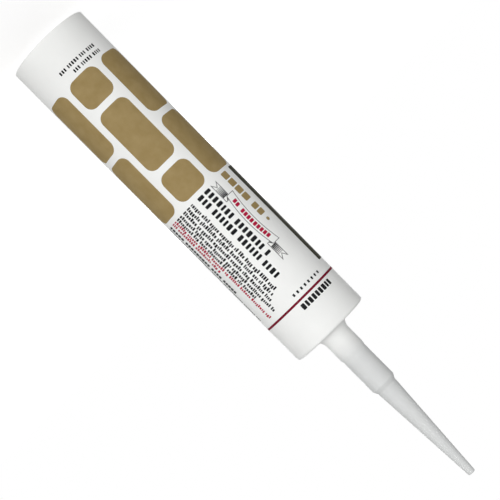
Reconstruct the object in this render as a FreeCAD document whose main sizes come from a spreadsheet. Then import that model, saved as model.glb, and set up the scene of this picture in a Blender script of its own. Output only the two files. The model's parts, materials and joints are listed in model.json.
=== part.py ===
import FreeCAD, Part
import os
from types import SimpleNamespace

import Sketcher

# Caulk tube: a one-piece plastic cartridge with its nozzle moulded on, a plunger behind the
# sealant, the sealant itself, and a foil seal across the throat of the nozzle.
# It stands on its rear rim. The origin is the centre of that rim, and +Z runs to the nozzle's tip.

# Driving dimensions in millimetres, one row of the sheet each
SIZES = {
    # Barrel, drafted so that the rear is its wider end
    "barrel_length": 216.4,
    "rear_diameter": 49.0,
    "barrel_draft": 0.55,
    "front_wall": 1.05,
    "entry_relief": 0.4,
    "entry_depth": 12.0,
    "entry_slope": 0.8,
    "rim_rounding": 0.3,
    # Shoulder that closes the front of the barrel
    "shoulder_thickness": 2.0,
    "shoulder_rounding": 1.5,
    "shoulder_inner_rounding": 1.0,
    # Nozzle: a root, a neck just thinner than it, and a long cone
    "root_diameter": 16.0,
    "root_length": 15.8,
    "root_rounding": 5.0,
    "neck_slope": 2.2,
    "neck_relief": 0.4,
    "neck_length": 22.0,
    "cone_slope": 2.6,
    "cone_relief": 1.35,
    "cone_length": 65.5,
    "tip_diameter": 4.4,
    "tip_thickness": 1.5,
    "tip_rounding": 0.8,
    "step_rounding": 0.6,
    "nozzle_wall": 1.2,
    # Plunger: a cup with a sealing lip at each end, open to the rear
    "plunger_setback": 2.0,
    "plunger_height": 18.0,
    "face_thickness": 1.6,
    "skirt_thickness": 1.5,
    "lip_clearance": 0.1,
    "lip_height": 2.5,
    "lip_relief": 0.8,
    "lip_slope": 0.8,
    "plunger_bevel": 1.5,
    "rib_count": 8,
    "rib_thickness": 1.2,
    "rib_depth": 5.0,
    "rib_height": 10.0,
    # Sealant and the foil behind the nozzle
    "sealant_film": 0.05,
    "seal_diameter": 20.0,
    "seal_thickness": 0.3,
}


class Length:
    """A length in millimetres, with the expression over the sheet that gives it."""

    def __init__(self, value, text):
        self.value = value
        self.text = text

    def __add__(self, other):
        return Length(self.value + other.value, f"({self.text} + {other.text})")

    def __sub__(self, other):
        return Length(self.value - other.value, f"({self.text} - {other.text})")

    def half(self):
        return Length(self.value / 2, f"({self.text} / 2)")


ZERO = Length(0.0, "0")


def make_sheet(doc):
    """Write the driving dimensions to the sheet, and return them as lengths bound to it."""
    sheet = doc.addObject("Spreadsheet::Sheet", "Sizes")
    lengths = {}
    for row, (name, value) in enumerate(SIZES.items(), start=1):
        sheet.set(f"A{row}", name)
        sheet.set(f"B{row}", str(value))
        sheet.setAlias(f"B{row}", name)
        lengths[name] = Length(value, f"Sizes.{name}")
    doc.recompute()
    return SimpleNamespace(**lengths)


def make_body(doc, node):
    body = doc.addObject("PartDesign::Body", node)
    body.Label = node
    body.Placement = FreeCAD.Placement()
    return body


def origin_plane(body, role):
    for feature in body.Origin.OriginFeatures:
        if feature.Role == role:
            return feature
    raise RuntimeError(f"{body.Label} has no {role}")


def pin_corner(sketch, line, name, kind, axis, length):
    """Hold the start of a line on an axis, or at a bound distance from the origin."""
    if length is ZERO:
        sketch.addConstraint(Sketcher.Constraint("PointOnObject", line, 1, axis))
        return
    constraint = Sketcher.Constraint(kind, -1, 1, line, 1, length.value)
    index = sketch.addConstraint(constraint)
    sketch.renameConstraint(index, name)
    sketch.setExpression(f"Constraints.{name}", length.text)


def make_outline(body, name, corners):
    """A closed outline of straight lines in the XZ plane, each corner a radius and a height."""
    sketch = body.newObject("Sketcher::SketchObject", name)
    sketch.AttachmentSupport = [(origin_plane(body, "XZ_Plane"), "")]
    sketch.MapMode = "FlatFace"
    points = [FreeCAD.Vector(radius.value, height.value, 0) for radius, height in corners]
    following = points[1:] + points[:1]
    for start, end in zip(points, following):
        sketch.addGeometry(Part.LineSegment(start, end), False)
    for line in range(len(corners)):
        after = (line + 1) % len(corners)
        sketch.addConstraint(Sketcher.Constraint("Coincident", line, 2, after, 1))
    for line, (radius, height) in enumerate(corners):
        pin_corner(sketch, line, f"radius_{line}", "DistanceX", -2, radius)
        pin_corner(sketch, line, f"height_{line}", "DistanceY", -1, height)
    return sketch


def revolve(body, name, sketch):
    turned = body.newObject("PartDesign::Revolution", name)
    turned.Profile = sketch
    turned.ReferenceAxis = (sketch, ["V_Axis"])
    turned.Angle = 360.0
    body.Document.recompute()
    return turned


def ring_edges(shape, radius, height):
    """The names of the circular edges of this radius at this height."""
    tolerance = 1e-4
    names = []
    for number, edge in enumerate(shape.Edges, start=1):
        if not isinstance(edge.Curve, Part.Circle):
            continue
        radius_error = abs(edge.Curve.Radius - radius.value)
        height_error = abs(edge.Curve.Center.z - height.value)
        if radius_error < tolerance and height_error < tolerance:
            names.append(f"Edge{number}")
    if not names:
        raise RuntimeError(f"no edge of radius {radius.value} at height {height.value}")
    return names


def round_rings(body, name, base, rings, rounding):
    """Round the circular edges given as pairs of radius and height."""
    edges = []
    for radius, height in rings:
        edges += ring_edges(base.Shape, radius, height)
    fillet = body.newObject("PartDesign::Fillet", name)
    fillet.Base = (base, edges)
    fillet.setExpression("Radius", rounding.text)
    body.Document.recompute()
    return fillet


def shared_lengths(size):
    """Radii, and heights above the rear rim, that more than one piece is set by."""
    rear = size.rear_diameter.half()
    front = rear - size.barrel_draft
    bore_start = size.entry_depth + size.entry_slope
    plunger_rear = bore_start + size.plunger_setback
    return SimpleNamespace(
        rear=rear,
        front=front,
        bore=front - size.front_wall,
        seal=size.seal_diameter.half(),
        bore_start=bore_start,
        plunger_rear=plunger_rear,
        plunger_front=plunger_rear + size.plunger_height,
        shoulder_inside=size.barrel_length - size.shoulder_thickness,
        seal_rear=size.barrel_length - size.shoulder_thickness - size.seal_thickness,
    )


def make_cartridge(doc, size, shared):
    """Barrel, shoulder and hollow nozzle in one moulding, closed at the nozzle's tip."""
    body = make_body(doc, "cartridge")
    rear, front, bore = shared.rear, shared.front, shared.bore
    entry = bore + size.entry_relief
    root = size.root_diameter.half()
    neck = root - size.neck_relief
    cone = neck - size.cone_relief
    tip = size.tip_diameter.half()
    wall = size.nozzle_wall

    shoulder = size.barrel_length
    root_end = shoulder + size.root_length
    neck_start = root_end + size.neck_slope
    neck_end = neck_start + size.neck_length
    cone_start = neck_end + size.cone_slope
    tip_end = cone_start + size.cone_length
    channel_end = tip_end - size.tip_thickness

    outside = [
        (entry, ZERO),
        (rear, ZERO),
        (front, shoulder),
        (root, shoulder),
        (root, root_end),
        (neck, neck_start),
        (neck, neck_end),
        (cone, cone_start),
        (tip, tip_end),
        (ZERO, tip_end),
    ]
    inside = [
        (ZERO, channel_end),
        (tip - wall, channel_end),
        (cone - wall, cone_start),
        (neck - wall, neck_end),
        (neck - wall, neck_start),
        (root - wall, root_end),
        (root - wall, shared.shoulder_inside),
        (bore, shared.shoulder_inside),
        (bore, shared.bore_start),
        (entry, size.entry_depth),
    ]
    sketch = make_outline(body, "cartridge_outline", outside + inside)
    solid = revolve(body, "cartridge_turned", sketch)

    solid = round_rings(body, "shoulder_edge", solid, [(front, shoulder)], size.shoulder_rounding)
    solid = round_rings(body, "nozzle_root", solid, [(root, shoulder)], size.root_rounding)
    inner_corner = [(bore, shared.shoulder_inside)]
    solid = round_rings(body, "shoulder_inside", solid, inner_corner, size.shoulder_inner_rounding)
    steps = [(neck, neck_end), (cone, cone_start)]
    solid = round_rings(body, "nozzle_steps", solid, steps, size.step_rounding)
    solid = round_rings(body, "nozzle_tip", solid, [(tip, tip_end)], size.tip_rounding)
    round_rings(body, "rear_rim", solid, [(rear, ZERO)], size.rim_rounding)
    return body


def make_plunger(doc, size, shared):
    """A cup that slides in the bore: two lips, a bevelled front and gussets inside the skirt."""
    body = make_body(doc, "plunger")
    lip = shared.bore - size.lip_clearance
    waist = lip - size.lip_relief
    skirt_inside = waist - size.skirt_thickness
    face_rear = shared.plunger_front - size.face_thickness
    rear_lip_end = shared.plunger_rear + size.lip_height
    front_lip_end = shared.plunger_front - size.plunger_bevel
    front_lip_start = front_lip_end - size.lip_height

    sketch = make_outline(body, "plunger_outline", [
        (skirt_inside, shared.plunger_rear),
        (lip, shared.plunger_rear),
        (lip, rear_lip_end),
        (waist, rear_lip_end + size.lip_slope),
        (waist, front_lip_start - size.lip_slope),
        (lip, front_lip_start),
        (lip, front_lip_end),
        (lip - size.plunger_bevel, shared.plunger_front),
        (ZERO, shared.plunger_front),
        (ZERO, face_rear),
        (skirt_inside, face_rear),
    ])
    revolve(body, "plunger_turned", sketch)

    # Each gusset runs into the skirt and the face by half their thickness
    skirt_middle = skirt_inside + size.skirt_thickness.half()
    face_middle = face_rear + size.face_thickness.half()
    gusset_sketch = make_outline(body, "gusset_outline", [
        (skirt_middle, face_rear - size.rib_height),
        (skirt_middle, face_middle),
        (skirt_inside - size.rib_depth, face_middle),
        (skirt_inside - size.rib_depth, face_rear),
        (skirt_inside, face_rear - size.rib_height),
    ])
    gusset = body.newObject("PartDesign::Pad", "gusset")
    gusset.Profile = gusset_sketch
    gusset.setExpression("Length", size.rib_thickness.text)
    gusset.SideType = "Symmetric"
    doc.recompute()

    gussets = body.newObject("PartDesign::PolarPattern", "gussets")
    gussets.Originals = [gusset]
    gussets.Axis = (gusset_sketch, ["V_Axis"])
    gussets.Angle = 360.0
    gussets.setExpression("Occurrences", size.rib_count.text)
    body.Tip = gussets
    doc.recompute()
    return body


def make_sealant(doc, size, shared):
    """The filling, from the plunger's face to the shoulder, round the foil seal."""
    body = make_body(doc, "sealant")
    fill = shared.bore - size.sealant_film
    seal = shared.seal
    sketch = make_outline(body, "sealant_outline", [
        (ZERO, shared.plunger_front),
        (fill, shared.plunger_front),
        (fill, shared.shoulder_inside),
        (seal, shared.shoulder_inside),
        (seal, shared.seal_rear),
        (ZERO, shared.seal_rear),
    ])
    solid = revolve(body, "sealant_turned", sketch)
    corner = [(fill, shared.shoulder_inside)]
    round_rings(body, "sealant_corner", solid, corner, size.shoulder_inner_rounding)
    return body


def make_inner_seal(doc, size, shared):
    """The foil disc that closes the throat of the nozzle from inside the barrel."""
    body = make_body(doc, "inner_seal")
    sketch = make_outline(body, "inner_seal_outline", [
        (ZERO, shared.seal_rear),
        (shared.seal, shared.seal_rear),
        (shared.seal, shared.shoulder_inside),
        (ZERO, shared.shoulder_inside),
    ])
    revolve(body, "inner_seal_turned", sketch)
    return body


def check(doc, bodies):
    """Stop if any object failed to build, or a body isn't one valid solid."""
    for item in doc.Objects:
        if "Invalid" in item.State or "Error" in item.State:
            raise RuntimeError(f"{item.Name} failed: {item.State}")
    for body in bodies:
        shape = body.Shape
        if shape.isNull() or not shape.isValid() or len(shape.Solids) != 1:
            raise RuntimeError(f"{body.Label} isn't one valid solid")


def main():
    doc = FreeCAD.newDocument("CaulkTube")
    size = make_sheet(doc)
    shared = shared_lengths(size)
    makers = [make_cartridge, make_plunger, make_sealant, make_inner_seal]
    bodies = [maker(doc, size, shared) for maker in makers]
    doc.recompute()
    check(doc, bodies)

    os.makedirs("parts", exist_ok=True)
    for body in bodies:
        body.Shape.exportStep(f"parts/{body.Label}.step")
        volume_ml = body.Shape.Volume / 1000.0
        print(f"{body.Label}: {volume_ml:.2f} ml")


main()
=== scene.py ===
import json
import math
import random

import bmesh
import bpy
from mathutils import Matrix, Vector


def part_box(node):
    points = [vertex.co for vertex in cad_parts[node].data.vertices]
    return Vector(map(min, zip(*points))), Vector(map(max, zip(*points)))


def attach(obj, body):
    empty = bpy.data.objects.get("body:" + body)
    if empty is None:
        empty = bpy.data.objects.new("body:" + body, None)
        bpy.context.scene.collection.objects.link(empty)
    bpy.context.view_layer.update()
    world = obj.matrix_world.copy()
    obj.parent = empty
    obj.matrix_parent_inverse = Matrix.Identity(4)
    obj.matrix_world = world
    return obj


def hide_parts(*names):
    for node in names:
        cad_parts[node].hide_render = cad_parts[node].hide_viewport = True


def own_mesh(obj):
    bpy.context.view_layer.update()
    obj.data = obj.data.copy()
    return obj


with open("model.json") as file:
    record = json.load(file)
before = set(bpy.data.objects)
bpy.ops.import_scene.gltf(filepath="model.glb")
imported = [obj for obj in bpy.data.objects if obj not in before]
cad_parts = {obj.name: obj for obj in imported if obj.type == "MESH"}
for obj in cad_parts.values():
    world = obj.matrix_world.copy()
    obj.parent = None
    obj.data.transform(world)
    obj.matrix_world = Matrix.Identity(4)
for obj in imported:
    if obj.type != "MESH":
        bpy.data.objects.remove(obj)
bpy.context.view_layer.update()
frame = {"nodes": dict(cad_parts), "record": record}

# Looks of the caulk tube: a white moulded cartridge with printed ink on its barrel.
# Sizes are in millimetres until a mesh is made. "Along" is the height above the rear rim, and
# "around" is the distance round the barrel from its front line, which faces -Y.

MM = 0.001

# Filling and foil, read from the frame
SEALANT_LOW, SEALANT_HIGH = (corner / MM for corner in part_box("sealant"))
SEAL_LOW, SEAL_HIGH = (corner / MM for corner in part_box("inner_seal"))

# Barrel
MOUNTS = {mount["name"]: mount for mount in frame["record"]["mounts"]}
REAR_RADIUS = 24.5
FRONT_RADIUS = 23.95
BARREL_LENGTH = MOUNTS["shoulder_face"]["pos_m"][2] / MM
ENTRY_RADIUS = MOUNTS["rear_bore"]["dims"]["r_mm"]
ENTRY_DEPTH = MOUNTS["rear_bore"]["dims"]["length_mm"]
ENTRY_SLOPE = 0.8
BORE_RADIUS = 22.9
SHOULDER_INSIDE = SEALANT_HIGH.z
RIM_ROUNDING = 0.3
SHOULDER_ROUNDING = 1.5
SHOULDER_INNER_ROUNDING = 1.0

# Nozzle, stage by stage from the shoulder
ROOT_ROUNDING = 5.0
ROOT_RADIUS = MOUNTS["nozzle_root"]["dims"]["r_mm"]
ROOT_LENGTH = 15.8
NECK_SLOPE = 2.2
NECK_RADIUS = 7.6
NECK_LENGTH = 22.0
CONE_SLOPE = 2.6
CONE_RADIUS = 6.25
CONE_LENGTH = 65.5
TIP_RADIUS = 2.2
TIP_THICKNESS = 1.5
TIP_ROUNDING = 0.8
STEP_ROUNDING = 0.6
NOZZLE_WALL = 1.2
ROOT_END = BARREL_LENGTH + ROOT_LENGTH
NECK_START = ROOT_END + NECK_SLOPE
NECK_END = NECK_START + NECK_LENGTH
CONE_START = NECK_END + CONE_SLOPE
TIP_END = CONE_START + CONE_LENGTH

# Mesh fineness. GUARD is how far from the ends of a long stretch its first extra points lie
SEGMENTS = 256
SEALANT_SEGMENTS = 128
ARC_STEPS = 8
GUARD = 0.3
LONGEST_STRETCH = 6.0
SHARP_ANGLE = math.radians(35)

# Ink lies this far above the barrel, with its underside this far below the barrel's surface, and
# bends round it in strips of this width
INK_LIFT = 0.03
INK_SINK = 0.02
INK_STRIP = 1.0

# Points of the print that are nearer to each other than this are one point
SAME_POINT = 1e-4

# Rows of blocks, in shares of a row's height
BLOCK_ROUNDING = 0.12
BLOCK_RISE = 1.4
BLOCK_DROP = -0.32
GROUP_SPACE = 0.45

# Most rows of blocks start here along the barrel
ROW_START = 117.0

# Ribbon: its middle along the barrel, and its edges round the barrel
RIBBON_MIDDLE = 144.2
RIBBON_HALF = 17.5
RIBBON_LOW = 8.8
RIBBON_HIGH = 13.7
RIBBON_SAG = 2.0
RIBBON_STEPS = 18
RIBBON_LINE = 0.34
RIBBON_MARGIN = 0.06
RIBBON_CLEAR = RIBBON_LINE / 2 + RIBBON_MARGIN

# Swallow tails of the ribbon, along the barrel from the ribbon's ends
TAIL_LOW = 8.4
TAIL_HIGH = 12.2
TAIL_FOLD = 2.2
TAIL_NOTCH = 6.6
TAIL_REACH = 9.4

# Camera of the photograph. CAMERA_RIGHT is the direction in which the picture's right lies
CAMERA_DISTANCE = 945.0
CAMERA_HEIGHT = 165.0
AIM_HEIGHT = 155.3
AIM_SIDE = 0.74
CAMERA_RIGHT = Vector((-0.711, 0.0, 0.703))
LENS = 126.3
SENSOR = 36.0

# Blotches of gloss are this share of the width of those of colour
GLOSS_SHARE = 0.6

# Light and floor, with distances in metres
WORLD_LIGHT = 0.4
LAMP_DISTANCE = 1.5
FLOOR_REACH = 6.0
FLOOR_TONE = (0.9, 0.9, 0.9, 1.0)

# The floor glows this much near the tube, more beyond the first distance, and white beyond the second
FLOOR_GLOW = 0.52
GLOW_RISES = 0.3
GLOW_WHITE = 1.2


def rounded(corners, steps=ARC_STEPS):
    """Points of a closed outline whose corners are (x, y, rounding)."""
    points = []
    for index, (x, y, rounding) in enumerate(corners):
        here = Vector((x, y))
        if rounding == 0:
            points.append(here)
            continue
        before = Vector(corners[index - 1][:2])
        after = Vector(corners[(index + 1) % len(corners)][:2])
        into = (here - before).normalized()
        out = (after - here).normalized()
        turn = into.angle(out)
        side = math.copysign(1.0, into.x * out.y - into.y * out.x)
        start = here - into * rounding * math.tan(turn / 2)
        centre = start + Vector((-into.y, into.x)) * side * rounding
        for step in range(steps + 1):
            spoke = Matrix.Rotation(side * turn * step / steps, 2) @ (start - centre)
            points.append(centre + spoke)
    return points


def supported(points):
    """The closed outline with more points on its long stretches, some of them close to the ends."""
    result = []
    for here, after in zip(points, points[1:] + points[:1]):
        result.append(here)
        length = (after - here).length
        on_axis = here.x == 0 and after.x == 0
        if on_axis or length < 4 * GUARD:
            continue
        direction = (after - here) / length
        count = math.ceil((length - 2 * GUARD) / LONGEST_STRETCH)
        for step in range(count + 1):
            distance = GUARD + (length - 2 * GUARD) * step / count
            result.append(here + direction * distance)
    return result


def make_piece(name, points, faces):
    """Smooth-shaded object of a closed mesh, with its normals outward."""
    mesh = bpy.data.meshes.new(name)
    mesh.from_pydata(points, [], faces)
    work = bmesh.new()
    work.from_mesh(mesh)
    bmesh.ops.recalc_face_normals(work, faces=work.faces)
    work.to_mesh(mesh)
    work.free()
    mesh.shade_smooth()
    mesh.set_sharp_from_angle(angle=SHARP_ANGLE)
    made = bpy.data.objects.new(name, mesh)
    bpy.context.scene.collection.objects.link(made)
    return made


def dress(made, material):
    """Give a piece its material, and let it ride on the cartridge."""
    made.data.materials.append(material)
    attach(made, "cartridge")


def lathe(name, outline, segments=SEGMENTS):
    """Turn a closed outline of (radius, height) points about the Z axis."""
    points, rings, faces = [], [], []
    for radius, height in outline:
        on_axis = radius == 0
        count = 1 if on_axis else segments
        rings.append([len(points) + step for step in range(count)] * (segments if on_axis else 1))
        for step in range(count):
            angle = 2 * math.pi * step / segments
            turned = Vector((radius * math.cos(angle), radius * math.sin(angle), height))
            points.append(turned * MM)
    for ring, above in zip(rings, rings[1:] + rings[:1]):
        for step in range(segments):
            after = (step + 1) % segments
            corners = [ring[step], ring[after], above[after], above[step]]
            corners = list(dict.fromkeys(corners))
            if len(corners) > 2:
                faces.append(corners)
    return make_piece(name, points, faces)


def barrel_radius(along):
    return REAR_RADIUS + (FRONT_RADIUS - REAR_RADIUS) * along / BARREL_LENGTH


def on_barrel(along, around, lift):
    """The point of the barrel's surface at this place, lifted off it."""
    angle = around / FRONT_RADIUS
    radius = barrel_radius(along) + lift
    return Vector((-radius * math.sin(angle), -radius * math.cos(angle), along)) * MM


def cut_into_strips(flat):
    """Cut flat shapes across, so that they can bend round the barrel."""
    low = min(vert.co.x for vert in flat.verts)
    high = max(vert.co.x for vert in flat.verts)
    for strip in range(math.ceil(low / INK_STRIP), math.floor(high / INK_STRIP) + 1):
        bmesh.ops.bisect_plane(
            flat,
            geom=flat.verts[:] + flat.edges[:] + flat.faces[:],
            plane_co=(strip * INK_STRIP, 0, 0),
            plane_no=(1, 0, 0),
        )


def skin_faces(flat):
    """Faces of a closed skin: the flat shapes, the same again below, and walls round their edges."""
    flat.verts.index_update()
    count = len(flat.verts)
    faces = []
    for face in flat.faces:
        corners = [vert.index for vert in face.verts]
        faces.append(corners)
        faces.append([count + corner for corner in reversed(corners)])
    for edge in flat.edges:
        if len(edge.link_faces) == 1:
            start, end = (vert.index for vert in edge.verts)
            faces.append([start, end, count + end, count + start])
    return faces


def print_ink(name, shapes, material):
    """A thin closed skin on the barrel for each flat shape of (along, around) points."""
    flat = bmesh.new()
    for shape in shapes:
        flat.faces.new([flat.verts.new((around, along, 0)) for along, around in shape])
    bmesh.ops.remove_doubles(flat, verts=flat.verts, dist=SAME_POINT)
    cut_into_strips(flat)
    faces = skin_faces(flat)
    outside = [on_barrel(vert.co.y, vert.co.x, INK_LIFT) for vert in flat.verts]
    inside = [on_barrel(vert.co.y, vert.co.x, -INK_SINK) for vert in flat.verts]
    flat.free()
    dress(make_piece(name, outside + inside, faces), material)


# Shapes of the print


def plate(along, around, length, height, rounding, steps=4):
    """A rectangle with rounded corners, from its lower rear corner."""
    return rounded([
        (along, around, rounding),
        (along + length, around, rounding),
        (along + length, around + height, rounding),
        (along, around + height, rounding),
    ], steps)


def disc(along, around, radius, steps=20):
    return [
        Vector((along + radius * math.cos(angle), around + radius * math.sin(angle)))
        for angle in (2 * math.pi * step / steps for step in range(steps))
    ]


def stroke(points, width, closed=False):
    """Flat pieces of a line of even width through the points, mitred at its corners."""
    points = [Vector(point) for point in points]
    count = len(points)
    sides = []
    for index, point in enumerate(points):
        before = points[index - 1] if closed or index else point
        after = points[(index + 1) % count] if closed or index < count - 1 else point
        into = (point - before).normalized() if point != before else (after - point).normalized()
        out = (after - point).normalized() if after != point else into
        across = Vector((-into.y - out.y, into.x + out.x)).normalized()
        reach = width / 2 / across.dot(Vector((-into.y, into.x)))
        sides.append((point + across * reach, point - across * reach))
    pairs = zip(sides, sides[1:] + sides[:1]) if closed else zip(sides, sides[1:])
    return [(left, right, next_right, next_left) for (left, right), (next_left, next_right) in pairs]


def block_row(rng, length, height, group, widths=(0.5, 0.75), gap=0.17, tall=0.0, deep=0.0):
    """Plain blocks from (0, 0) rightwards, with the least and most blocks of a group in group.
    Widths and the gap between blocks are in heights. tall and deep are the shares of blocks that
    rise above the row and drop below it."""
    shapes = []
    place = 0.0
    while place < length:
        for _ in range(rng.randint(*group)):
            width = height * rng.uniform(*widths)
            if place + width > length:
                return shapes
            chance = rng.random()
            bottom = BLOCK_DROP * height if chance < deep else 0.0
            top = BLOCK_RISE * height if chance > 1 - tall else height
            rounding = BLOCK_ROUNDING * height
            shapes.append(plate(place, bottom, width, top - bottom, rounding, steps=2))
            place += width + gap * height
        place += GROUP_SPACE * height
    return shapes


def lengthwise(shapes, along, around):
    """Place shapes that read forward along the barrel."""
    offset = Vector((along, around))
    return [[point + offset for point in shape] for shape in shapes]


def crosswise(shapes, along, around):
    """Place shapes that read round the barrel, with their tops towards the nozzle."""
    return [[Vector((along + y, around - x)) for x, y in shape] for shape in shapes]


# Materials


def new_material(name):
    """A node material with its shader, and a coordinate in metres on the object."""
    material = bpy.data.materials.new(name)
    material.use_nodes = True
    tree = material.node_tree
    shader = tree.nodes["Principled BSDF"]
    place = tree.nodes.new("ShaderNodeTexCoord").outputs["Object"]
    return material, tree, shader, place


def noise(tree, place, size_mm):
    """Noise whose blotches are about this wide."""
    node = tree.nodes.new("ShaderNodeTexNoise")
    node.inputs["Scale"].default_value = 1.0 / (size_mm * MM)
    node.inputs["Detail"].default_value = 3.0
    tree.links.new(place, node.inputs["Vector"])
    return node.outputs["Fac"]


def remap(tree, value, low, high, from_low=0.3, from_high=0.7):
    """Bring a value to the range from low to high. Most noise lies between 0.3 and 0.7."""
    node = tree.nodes.new("ShaderNodeMapRange")
    node.inputs["From Min"].default_value = from_low
    node.inputs["From Max"].default_value = from_high
    node.inputs["To Min"].default_value = low
    node.inputs["To Max"].default_value = high
    tree.links.new(value, node.inputs["Value"])
    return node.outputs["Result"]


def combine(tree, operation, first, second):
    """The product, the larger one or the like of two sockets."""
    node = tree.nodes.new("ShaderNodeMath")
    node.operation = operation
    tree.links.new(first, node.inputs[0])
    tree.links.new(second, node.inputs[1])
    return node.outputs[0]


def mix_colour(tree, factor, first, second):
    """Blend two colours, each a tuple or a socket."""
    node = tree.nodes.new("ShaderNodeMix")
    node.data_type = "RGBA"
    tree.links.new(factor, node.inputs[0])
    for socket, colour in ((node.inputs[6], first), (node.inputs[7], second)):
        if isinstance(colour, tuple):
            socket.default_value = (*colour, 1.0)
        else:
            tree.links.new(colour, socket)
    return node.outputs[2]


def add_bump(tree, shader, height, distance_mm):
    node = tree.nodes.new("ShaderNodeBump")
    node.inputs["Strength"].default_value = 1.0
    node.inputs["Distance"].default_value = distance_mm * MM
    tree.links.new(height, node.inputs["Height"])
    tree.links.new(node.outputs["Normal"], shader.inputs["Normal"])


def shade(tree, shader, place, colours, blotch_mm, rough, grain_mm, grain_depth_mm):
    """Blotched colour, uneven gloss and a fine grain, as on any moulded or printed surface."""
    pale, deep = colours
    colour = mix_colour(tree, remap(tree, noise(tree, place, blotch_mm), 0, 1), pale, deep)
    tree.links.new(colour, shader.inputs["Base Color"])
    gloss = noise(tree, place, blotch_mm * GLOSS_SHARE)
    tree.links.new(remap(tree, gloss, *rough), shader.inputs["Roughness"])
    add_bump(tree, shader, noise(tree, place, grain_mm), grain_depth_mm)


def cartridge_plastic():
    """White barrel that turns to a greyer, thinner-walled nozzle past its root."""
    fade_start, fade_end = ((BARREL_LENGTH + past_shoulder) * MM for past_shoulder in (8.0, 21.0))
    material, tree, shader, place = new_material("cartridge_plastic")
    split = tree.nodes.new("ShaderNodeSeparateXYZ")
    tree.links.new(place, split.inputs["Vector"])
    nozzle_share = remap(tree, split.outputs["Z"], 0, 1, fade_start, fade_end)
    blotch = remap(tree, noise(tree, place, size_mm=14.0), 0, 1)
    barrel = mix_colour(tree, blotch, (0.875, 0.88, 0.865), (0.855, 0.86, 0.845))
    nozzle = mix_colour(tree, blotch, (0.69, 0.7, 0.695), (0.655, 0.665, 0.66))
    colour = mix_colour(tree, nozzle_share, barrel, nozzle)
    tree.links.new(colour, shader.inputs["Base Color"])
    gloss = remap(tree, noise(tree, place, size_mm=9.0), low=0.42, high=0.52)
    tree.links.new(gloss, shader.inputs["Roughness"])
    shader.inputs["Specular IOR Level"].default_value = 0.05
    add_bump(tree, shader, noise(tree, place, size_mm=0.8), distance_mm=0.008)
    return material


def plunger_plastic():
    """Waxy off-white plastic."""
    material, tree, shader, place = new_material("plunger_plastic")
    colours = (0.8, 0.8, 0.77), (0.74, 0.74, 0.71)
    shade(
        tree, shader, place, colours,
        blotch_mm=6.0, rough=(0.4, 0.55), grain_mm=0.4, grain_depth_mm=0.012,
    )
    shader.inputs["Specular IOR Level"].default_value = 0.25
    return material


def sealant_paste():
    """Smooth cream-white paste."""
    material, tree, shader, place = new_material("sealant_paste")
    colours = (0.86, 0.85, 0.81), (0.8, 0.79, 0.75)
    shade(
        tree, shader, place, colours,
        blotch_mm=8.0, rough=(0.3, 0.5), grain_mm=1.5, grain_depth_mm=0.05,
    )
    return material


def seal_foil():
    """Bright foil, a little crumpled."""
    material, tree, shader, place = new_material("seal_foil")
    colours = (0.8, 0.8, 0.81), (0.68, 0.68, 0.7)
    shade(
        tree, shader, place, colours,
        blotch_mm=3.0, rough=(0.22, 0.38), grain_mm=0.6, grain_depth_mm=0.03,
    )
    shader.inputs["Metallic"].default_value = 1.0
    return material


def ink(name, pale, deep, rough=(0.45, 0.55), blotch_mm=5.0):
    """Ink that is a little uneven, as screen print on plastic is."""
    material, tree, shader, place = new_material(name)
    shade(tree, shader, place, (pale, deep), blotch_mm, rough, grain_mm=0.6, grain_depth_mm=0.006)
    shader.inputs["Specular IOR Level"].default_value = 0.02
    return material


# Pieces


def make_cartridge(material):
    """Barrel, shoulder and hollow nozzle, in the form of its solid with a finer mesh."""
    outside = [
        (ENTRY_RADIUS, 0.0, 0.0),
        (REAR_RADIUS, 0.0, RIM_ROUNDING),
        (FRONT_RADIUS, BARREL_LENGTH, SHOULDER_ROUNDING),
        (ROOT_RADIUS, BARREL_LENGTH, ROOT_ROUNDING),
        (ROOT_RADIUS, ROOT_END, STEP_ROUNDING),
        (NECK_RADIUS, NECK_START, STEP_ROUNDING),
        (NECK_RADIUS, NECK_END, STEP_ROUNDING),
        (CONE_RADIUS, CONE_START, STEP_ROUNDING),
        (TIP_RADIUS, TIP_END, TIP_ROUNDING),
        (0.0, TIP_END, 0.0),
    ]
    inside = [
        (0.0, TIP_END - TIP_THICKNESS, 0.0),
        (TIP_RADIUS - NOZZLE_WALL, TIP_END - TIP_THICKNESS, 0.0),
        (CONE_RADIUS - NOZZLE_WALL, CONE_START, 0.0),
        (NECK_RADIUS - NOZZLE_WALL, NECK_END, 0.0),
        (NECK_RADIUS - NOZZLE_WALL, NECK_START, 0.0),
        (ROOT_RADIUS - NOZZLE_WALL, ROOT_END, 0.0),
        (ROOT_RADIUS - NOZZLE_WALL, SHOULDER_INSIDE, 0.0),
        (BORE_RADIUS, SHOULDER_INSIDE, SHOULDER_INNER_ROUNDING),
        (BORE_RADIUS, ENTRY_DEPTH + ENTRY_SLOPE, 0.0),
        (ENTRY_RADIUS, ENTRY_DEPTH, 0.0),
    ]
    made = lathe("cartridge_shell", supported(rounded(outside + inside)))
    dress(made, material)
    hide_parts("cartridge")


def make_sealant(material):
    """The filling, which on the real tube shortens as the plunger drives it out; here it is one fixed
    solid that rides on the cartridge.
    """
    radius = (SEALANT_HIGH.x - SEALANT_LOW.x) / 2
    seal_radius = (SEAL_HIGH.x - SEAL_LOW.x) / 2
    outline = [
        (0.0, SEALANT_LOW.z, 0.0),
        (radius, SEALANT_LOW.z, 0.0),
        (radius, SEALANT_HIGH.z, SHOULDER_INNER_ROUNDING),
        (seal_radius, SEALANT_HIGH.z, 0.0),
        (seal_radius, SEAL_LOW.z, 0.0),
        (0.0, SEAL_LOW.z, 0.0),
    ]
    made = lathe("sealant_fill", supported(rounded(outline)), SEALANT_SEGMENTS)
    dress(made, material)
    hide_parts("sealant")
    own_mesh(made)


def repaint(node, material):
    """Give a solid that is shown as it is a better material."""
    mesh = frame["nodes"][node].data
    mesh.materials.clear()
    mesh.materials.append(material)


# Printing


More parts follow.
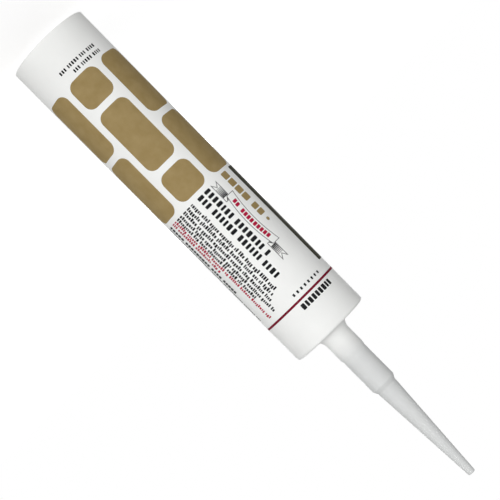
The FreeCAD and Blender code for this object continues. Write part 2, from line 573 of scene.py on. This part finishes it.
def print_tiles(material):
    """Three courses of gold tiles with rounded corners, the middle one half a tile out."""
    rear, front, lowest = 27.0, 114.0, -33.0
    courses, course_pitch, gap = 3, 23.33, 4.0
    rounding, corner_steps = 5.0, 10
    tile_height = course_pitch - gap
    tile_length = (front - rear - gap) / 2
    half_length = (front - rear - tile_length - 2 * gap) / 2
    shapes = []
    for course in range(courses):
        around = lowest + course * course_pitch
        lengths = [tile_length] * 2
        if course % 2:
            lengths = [half_length, tile_length, half_length]
        along = rear
        for length in lengths:
            shapes.append(plate(along, around, length, tile_height, rounding, corner_steps))
            along += length + gap
    print_ink("gold_tiles", shapes, material)


def ribbon_level(edge, x):
    """Where an edge of the sagging ribbon is round the barrel, at x from the ribbon's middle."""
    return edge + RIBBON_SAG * (x / RIBBON_HALF) ** 2


def ribbon_outline():
    across = [RIBBON_HALF * (2 * step / RIBBON_STEPS - 1) for step in range(RIBBON_STEPS + 1)]
    edge = [(RIBBON_MIDDLE + x, ribbon_level(RIBBON_LOW, x)) for x in across]
    edge += [(RIBBON_MIDDLE + x, ribbon_level(RIBBON_HIGH, x)) for x in reversed(across)]
    return stroke(edge, RIBBON_LINE, closed=True)


def tail_outline(end, side):
    """A notched tail that comes out from behind the ribbon's end, with the fold below it."""
    fold = end - side * TAIL_FOLD
    return stroke([
        (end + side * RIBBON_CLEAR, TAIL_HIGH),
        (end + side * TAIL_REACH, TAIL_HIGH),
        (end + side * TAIL_NOTCH, (TAIL_LOW + TAIL_HIGH) / 2),
        (end + side * TAIL_REACH, TAIL_LOW),
        (fold, TAIL_LOW),
        (fold, ribbon_level(RIBBON_LOW, RIBBON_HALF - TAIL_FOLD) - RIBBON_CLEAR),
    ], RIBBON_LINE)


def tail_shading(end, side):
    """The dark inside of the fold, and bars that thin out along the tail."""
    fold_rise = 0.6
    fold = end - side * (TAIL_FOLD - RIBBON_CLEAR)
    shapes = [[
        (fold, TAIL_LOW + RIBBON_CLEAR + fold_rise),
        (fold, ribbon_level(RIBBON_LOW, RIBBON_HALF - TAIL_FOLD) - RIBBON_CLEAR),
        (end - side * RIBBON_CLEAR, ribbon_level(RIBBON_LOW, RIBBON_HALF) - RIBBON_CLEAR),
    ]]
    bars, first, pitch = 7, 0.7, 0.85
    widest, thinning, rounding = 0.8, 0.09, 0.08
    height = TAIL_HIGH - TAIL_LOW - 2 * RIBBON_CLEAR
    for bar in range(bars):
        width = widest - thinning * bar
        along = end + side * (first + pitch * bar) - width / 2
        shapes.append(plate(along, TAIL_LOW + RIBBON_CLEAR, width, height, rounding, steps=1))
    return shapes


def ribbon_blocks():
    """Blocks along the ribbon, in groups that each have a count and a first place."""
    pitch, width, height, rounding = 2.3, 1.8, 2.6, 0.3
    margin = (RIBBON_HIGH - RIBBON_LOW - height) / 2
    shapes = []
    for count, first in ((2, -13.6), (4, -7.0), (5, 2.4)):
        for place in range(count):
            x = first + pitch * place
            around = ribbon_level(RIBBON_LOW, x + width / 2) + margin
            shapes.append(plate(RIBBON_MIDDLE + x, around, width, height, rounding, steps=3))
    return shapes


def print_ribbon(grey, black, red):
    """A sagging ribbon with two folded swallow tails, drawn in line, with red blocks on it."""
    lines = ribbon_outline()
    shading = []
    for side in (-1, 1):
        end = RIBBON_MIDDLE + side * RIBBON_HALF
        lines += tail_outline(end, side)
        shading += tail_shading(end, side)
    print_ink("ribbon_lines", lines, grey)
    print_ink("ribbon_shading", shading, black)
    print_ink("ribbon_blocks", ribbon_blocks(), red)


def print_title(rng, material):
    """A tall row that ends in a dot."""
    row = block_row(rng, length=31.5, height=4.8, group=(3, 4), widths=(0.7, 0.95))
    shapes = lengthwise(row, along=116.0, around=17.6)
    shapes.append(disc(along=150.2, around=20.0, radius=1.1))
    print_ink("title_blocks", shapes, material)


def print_heading(rng, material):
    """Two bold rows, each given by its place round the barrel, its length and its groups."""
    shapes = []
    for around, length, group in ((3.1, 49.5, (7, 8)), (-1.8, 61.0, (3, 8))):
        row = block_row(rng, length, height=3.7, group=group, widths=(0.38, 0.62), gap=0.3)
        shapes += lengthwise(row, ROW_START, around)
    print_ink("heading_blocks", shapes, material)


def print_small_rows(rng, name, rows, material):
    """Small rows with risers and drops, each given by its place round the barrel and its length."""
    shapes = []
    for around, length in rows:
        row = block_row(
            rng, length, height=1.65,
            group=(2, 9), widths=(0.42, 0.72), gap=0.22, tall=0.35, deep=0.14,
        )
        shapes += lengthwise(row, ROW_START, around)
    print_ink(name, shapes, material)


def print_edge_rows(rng, material):
    """Two plain rows at the barrel's side: place round the barrel, length, height and groups."""
    shapes = []
    for around, length, height, group in ((-29.6, 51.0, 2.5, (4, 9)), (-32.6, 70.0, 1.5, (3, 9))):
        shapes += lengthwise(block_row(rng, length, height, group), ROW_START, around)
    print_ink("edge_blocks", shapes, material)


def print_contents(rng, material):
    """Two crosswise rows near the rear, each given by its place, its length and its groups."""
    shapes = []
    for along, around, length, group in ((18.8, 18.0, 26.0, (3, 6)), (22.8, 18.5, 21.5, (3, 8))):
        row = block_row(rng, length, height=2.1, group=group, widths=(0.32, 0.5), gap=0.3)
        shapes += crosswise(row, along, around)
    print_ink("contents_blocks", shapes, material)


def print_spaced(material):
    """A crosswise row of small blocks with wide gaps."""
    count, pitch, along, first = 8, 2.75, 187.9, 17.6
    shapes = []
    for place in range(count):
        around = first - pitch * place
        shapes.append(plate(along, around, length=1.7, height=1.15, rounding=0.2, steps=2))
    print_ink("spaced_blocks", shapes, material)


def print_name(rng, material):
    """One crosswise row near the shoulder."""
    row = block_row(rng, length=23.0, height=3.5, group=(9, 9), widths=(0.42, 0.66), gap=0.2)
    print_ink("name_blocks", crosswise(row, along=194.8, around=20.0), material)


def print_rows(gold, black, red):
    """Rows of plain blocks, all drawn from one seeded source."""
    rng = random.Random(11)
    print_title(rng, gold)
    print_heading(rng, black)
    paragraph = (-6.8, 63.5), (-9.9, 64.5), (-13.0, 65.5), (-16.1, 71.0), (-19.1, 59.5)
    print_small_rows(rng, "paragraph_blocks", paragraph, black)
    note = (-21.8, 72.0), (-24.8, 36.0)
    print_small_rows(rng, "note_blocks", note, red)
    print_edge_rows(rng, black)
    print_contents(rng, black)
    print_spaced(black)
    print_name(rng, black)


def print_panel(material):
    """The dark panel whose edge shows at the barrel's side, carried on round the back."""
    panel = plate(along=115.5, around=27.5, length=69.5, height=24.0, rounding=0.6)
    print_ink("back_panel", [panel], material)


def print_ring(material):
    """The line round the whole barrel."""
    rear, front = 192.0, 193.3
    outline = []
    for along, lift in ((rear, -INK_SINK), (rear, INK_LIFT), (front, INK_LIFT), (front, -INK_SINK)):
        outline.append((barrel_radius(along) + lift, along))
    dress(lathe("ring_line", outline), material)


# Stage


def seen_directly(tree):
    """1 for what the camera, a reflection or a refraction sees, and 0 for light on the object."""
    rays = tree.nodes.new("ShaderNodeLightPath").outputs
    seen = combine(tree, "MAXIMUM", rays["Is Camera Ray"], rays["Is Glossy Ray"])
    return combine(tree, "MAXIMUM", seen, rays["Is Transmission Ray"])


def floor_material():
    """Pale, with a glow that makes it white to the camera but for the tube's soft shadow."""
    material, tree, shader, place = new_material("floor")
    shader.inputs["Base Color"].default_value = FLOOR_TONE
    shader.inputs["Roughness"].default_value = 0.9
    shader.inputs["Specular IOR Level"].default_value = 0.0
    distance = tree.nodes.new("ShaderNodeVectorMath")
    distance.operation = "LENGTH"
    tree.links.new(place, distance.inputs[0])
    level = remap(tree, distance.outputs["Value"], FLOOR_GLOW, 1.0, GLOW_RISES, GLOW_WHITE)
    glow = tree.nodes.new("ShaderNodeEmission")
    tree.links.new(combine(tree, "MULTIPLY", level, seen_directly(tree)), glow.inputs["Strength"])
    both = tree.nodes.new("ShaderNodeAddShader")
    tree.links.new(shader.outputs["BSDF"], both.inputs[0])
    tree.links.new(glow.outputs["Emission"], both.inputs[1])
    tree.links.new(both.outputs[0], tree.nodes["Material Output"].inputs["Surface"])
    # The glow lights nothing, so it isn't sampled as a lamp
    material.cycles.emission_sampling = "NONE"
    return material


def make_floor():
    reach = FLOOR_REACH
    corners = [(-reach, -reach, 0), (reach, -reach, 0), (reach, reach, 0), (-reach, reach, 0)]
    mesh = bpy.data.meshes.new("floor")
    mesh.from_pydata(corners, [], [(0, 1, 2, 3)])
    mesh.materials.append(floor_material())
    floor = bpy.data.objects.new("floor", mesh)
    bpy.context.scene.collection.objects.link(floor)


def make_world():
    """White to the camera and to reflections, and a dim light on the tube from all round."""
    world = bpy.data.worlds.new("studio")
    world.use_nodes = True
    tree = world.node_tree
    background = tree.nodes["Background"]
    background.inputs["Color"].default_value = (1, 1, 1, 1)
    strength = remap(tree, seen_directly(tree), WORLD_LIGHT, 1.0, 0.0, 1.0)
    tree.links.new(strength, background.inputs["Strength"])
    bpy.context.scene.world = world


def make_lamp(name, bearing, height, size, power):
    """A soft flat lamp that faces the tube's middle, at a bearing in degrees from the front and a
    height in metres. Its size is a width and a height in metres, and its power is in watts."""
    lamp = bpy.data.lights.new(name, "AREA")
    lamp.shape = "RECTANGLE"
    lamp.size, lamp.size_y = size
    lamp.energy = power
    made = bpy.data.objects.new(name, lamp)
    angle = math.radians(bearing)
    aim = Vector((0, 0, AIM_HEIGHT * MM))
    across = Vector((math.sin(angle), -math.cos(angle), 0)) * LAMP_DISTANCE
    made.location = across + Vector((0, 0, height))
    made.rotation_mode = "QUATERNION"
    made.rotation_quaternion = (aim - made.location).to_track_quat("-Z", "Y")
    bpy.context.scene.collection.objects.link(made)


def make_camera():
    """The photograph's camera: level with the tube, and rolled so that the tube lies aslant."""
    data = bpy.data.cameras.new("camera")
    data.sensor_width = SENSOR
    data.lens = LENS
    data.dof.use_dof = False
    made = bpy.data.objects.new("camera", data)
    place = Vector((0, -CAMERA_DISTANCE, CAMERA_HEIGHT)) * MM
    aim = Vector((AIM_SIDE, 0, AIM_HEIGHT)) * MM
    forward = (aim - place).normalized()
    right = (CAMERA_RIGHT - forward * CAMERA_RIGHT.dot(forward)).normalized()
    up = (-forward).cross(right)
    turn = Matrix((right, up, -forward)).transposed().to_4x4()
    made.matrix_world = Matrix.Translation(place) @ turn
    bpy.context.scene.collection.objects.link(made)
    bpy.context.scene.camera = made


gold = ink("gold_ink", (0.349, 0.257, 0.117), (0.302, 0.217, 0.091), rough=(0.5, 0.6), blotch_mm=6.0)
black = ink("black_ink", (0.02, 0.02, 0.022), (0.012, 0.012, 0.013))
grey = ink("grey_ink", (0.12, 0.12, 0.12), (0.09, 0.09, 0.09))
olive = ink("olive_ink", (0.03, 0.028, 0.014), (0.02, 0.018, 0.009))
red = ink("red_ink", (0.45, 0.018, 0.06), (0.38, 0.014, 0.045))
crimson = ink("crimson_ink", (0.2, 0.008, 0.028), (0.16, 0.006, 0.022))

make_cartridge(cartridge_plastic())
make_sealant(sealant_paste())
repaint("plunger", plunger_plastic())
repaint("inner_seal", seal_foil())
print_tiles(gold)
print_ribbon(grey, black, red)
print_rows(gold, black, red)
print_panel(olive)
print_ring(crimson)

make_floor()
make_world()
make_lamp("key", bearing=11, height=0.16, size=(1.0, 0.3), power=13.1)
make_lamp("back", bearing=180, height=0.3, size=(1.0, 1.0), power=11.0)
make_camera()
bpy.context.scene.view_settings.view_transform = "Standard"
